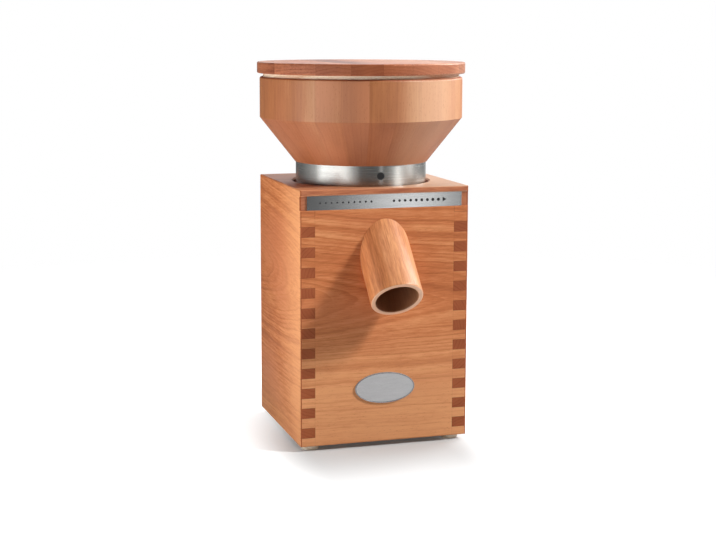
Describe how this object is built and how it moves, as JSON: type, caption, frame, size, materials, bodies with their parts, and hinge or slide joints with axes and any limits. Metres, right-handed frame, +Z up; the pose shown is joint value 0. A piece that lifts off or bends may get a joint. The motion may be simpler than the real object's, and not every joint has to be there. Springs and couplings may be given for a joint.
{
  "type": "electric grain mill",
  "caption": "Wooden electric grain mill with a finger-jointed case, slanted spout, turned hopper with lid, and a stone milling unit on a vertical motor.",
  "frame": {"origin": "on the table, straight below the mill's axis, which is also the centre of the case", "axes": "+Z up along the mill's axis, -Y towards the front with the spout, +X to the right seen from the front"},
  "size_m": [0.2124, 0.2448, 0.381],
  "materials": {
    "beech_wood": "oiled beech, satin, with grain, end grain and glued staves",
    "spout_wood": "paler turned beech, oiled",
    "plywood": "raw birch plywood",
    "plate_steel": "brushed along its length",
    "badge_steel": "fine brushed, bare",
    "collar_steel": "brushed round the collar",
    "bearing_steel": "ground",
    "zinc_steel": "zinc plated",
    "cast_aluminium": "die cast, satin",
    "ring_brass": "turned",
    "copper_wire": null,
    "core_steel": "stacked sheet steel",
    "stone": "sharp corundum and ceramic millstone",
    "black_plastic": "moulded, matt",
    "black_rubber": "matt",
    "foot_plastic": "off-white moulded foot",
    "seal_felt": "pressed felt",
    "capacitor_metal": "drawn can",
    "block_plastic": "moulded",
    "lead_plastic": "insulated wire"
  },
  "bodies": {
    "case": {"front_panel": "beech_wood", "rear_panel": "beech_wood", "left_panel": "beech_wood", "right_panel": "beech_wood", "top_board": "beech_wood", "bottom_plate": "plywood", "scale_plate": "plate_steel", "badge_plate": "badge_steel", "spout": "spout_wood", "foot_front_left": "foot_plastic", "foot_front_right": "foot_plastic", "foot_rear_left": "foot_plastic", "foot_rear_right": "foot_plastic", "foot_screws": "zinc_steel", "bottom_screws": "zinc_steel", "milling_chamber": "cast_aluminium", "thread_ring": "ring_brass", "ring_screws": "zinc_steel", "chamber_screws": "zinc_steel", "shaft_seal": "seal_felt", "upper_motor_cap": "cast_aluminium", "lower_motor_cap": "cast_aluminium", "stator_core": "core_steel", "stator_windings": "copper_wire", "motor_bolts": "zinc_steel", "motor_screws": "zinc_steel", "upper_bearing_outer": "bearing_steel", "lower_bearing_outer": "bearing_steel", "capacitor": "capacitor_metal", "capacitor_clip": "zinc_steel", "terminal_block": "block_plastic", "switch_housing": "black_plastic", "cord_inlet": "black_rubber", "internal_leads": "lead_plastic"},
    "rotor": {"motor_shaft": "bearing_steel", "rotor_core": "core_steel", "rotor_cage": "cast_aluminium", "cooling_fan": "black_plastic", "upper_bearing_inner": "bearing_steel", "lower_bearing_inner": "bearing_steel", "upper_ball_set": "bearing_steel", "lower_ball_set": "bearing_steel", "stone_carrier": "cast_aluminium", "drive_pin": "bearing_steel", "lower_millstone": "stone", "carrier_screw": "zinc_steel"},
    "hopper": {"hopper_bowl": "beech_wood", "hopper_collar": "collar_steel", "index_marker": "black_plastic", "stone_holder": "cast_aluminium", "holder_screws": "zinc_steel", "upper_millstone": "stone", "throat_guard": "black_plastic"},
    "lid": {"lid": "beech_wood", "lid_insert": "spout_wood"},
    "switch": {"switch_rocker": "black_plastic"}
  },
  "joints": [
    {"name": "rotor_spin", "type": "hinge", "parent": "case", "child": "rotor", "pos_m": [0, 0, 0.15], "axis": [0, 0, 1], "continuous": true},
    {"name": "hopper_turn", "type": "hinge", "parent": "case", "child": "hopper", "pos_m": [0, 0, 0.25], "axis": [0, 0, 1], "range_deg": [-62, 62]},
    {"name": "lid_lift", "type": "slide", "parent": "hopper", "child": "lid", "axis": [0, 0, 1], "range_m": [0, 0.1]},
    {"name": "switch_rock", "type": "hinge", "parent": "case", "child": "switch", "pos_m": [0.046, 0.08, 0.077], "axis": [1, 0, 0], "range_deg": [0, 16]}
  ]
}
